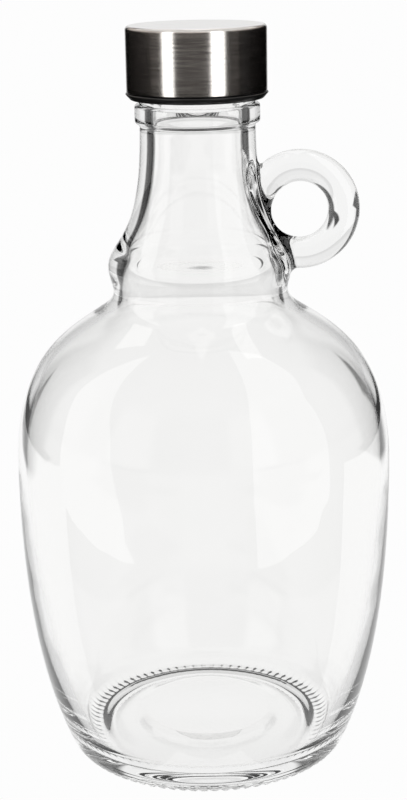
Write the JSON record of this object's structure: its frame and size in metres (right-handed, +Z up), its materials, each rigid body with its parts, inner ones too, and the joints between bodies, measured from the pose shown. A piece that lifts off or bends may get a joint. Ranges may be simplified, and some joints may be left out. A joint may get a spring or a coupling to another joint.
{
  "type": "glass jug",
  "caption": "Clear glass jug with a round body, flared neck, a small ring handle on the neck and a steel-clad screw cap.",
  "frame": {"origin": "centre of the flat ring that the jug stands on, which is the centre of the underside of its box", "axes": "+Z up through the neck, +X towards the ring handle, +Y to the back"},
  "size_m": [0.1136, 0.1136, 0.223],
  "materials": {
    "clear_glass": "clear, colourless to faintly green glass with a fire-polished surface",
    "brushed_steel": "stainless steel brushed round the side",
    "black_plastic": "moulded black plastic, satin"
  },
  "bodies": {
    "root": {"bottle": "clear_glass", "cap_liner": "black_plastic", "cap_shell": "brushed_steel"}
  },
  "joints": []
}
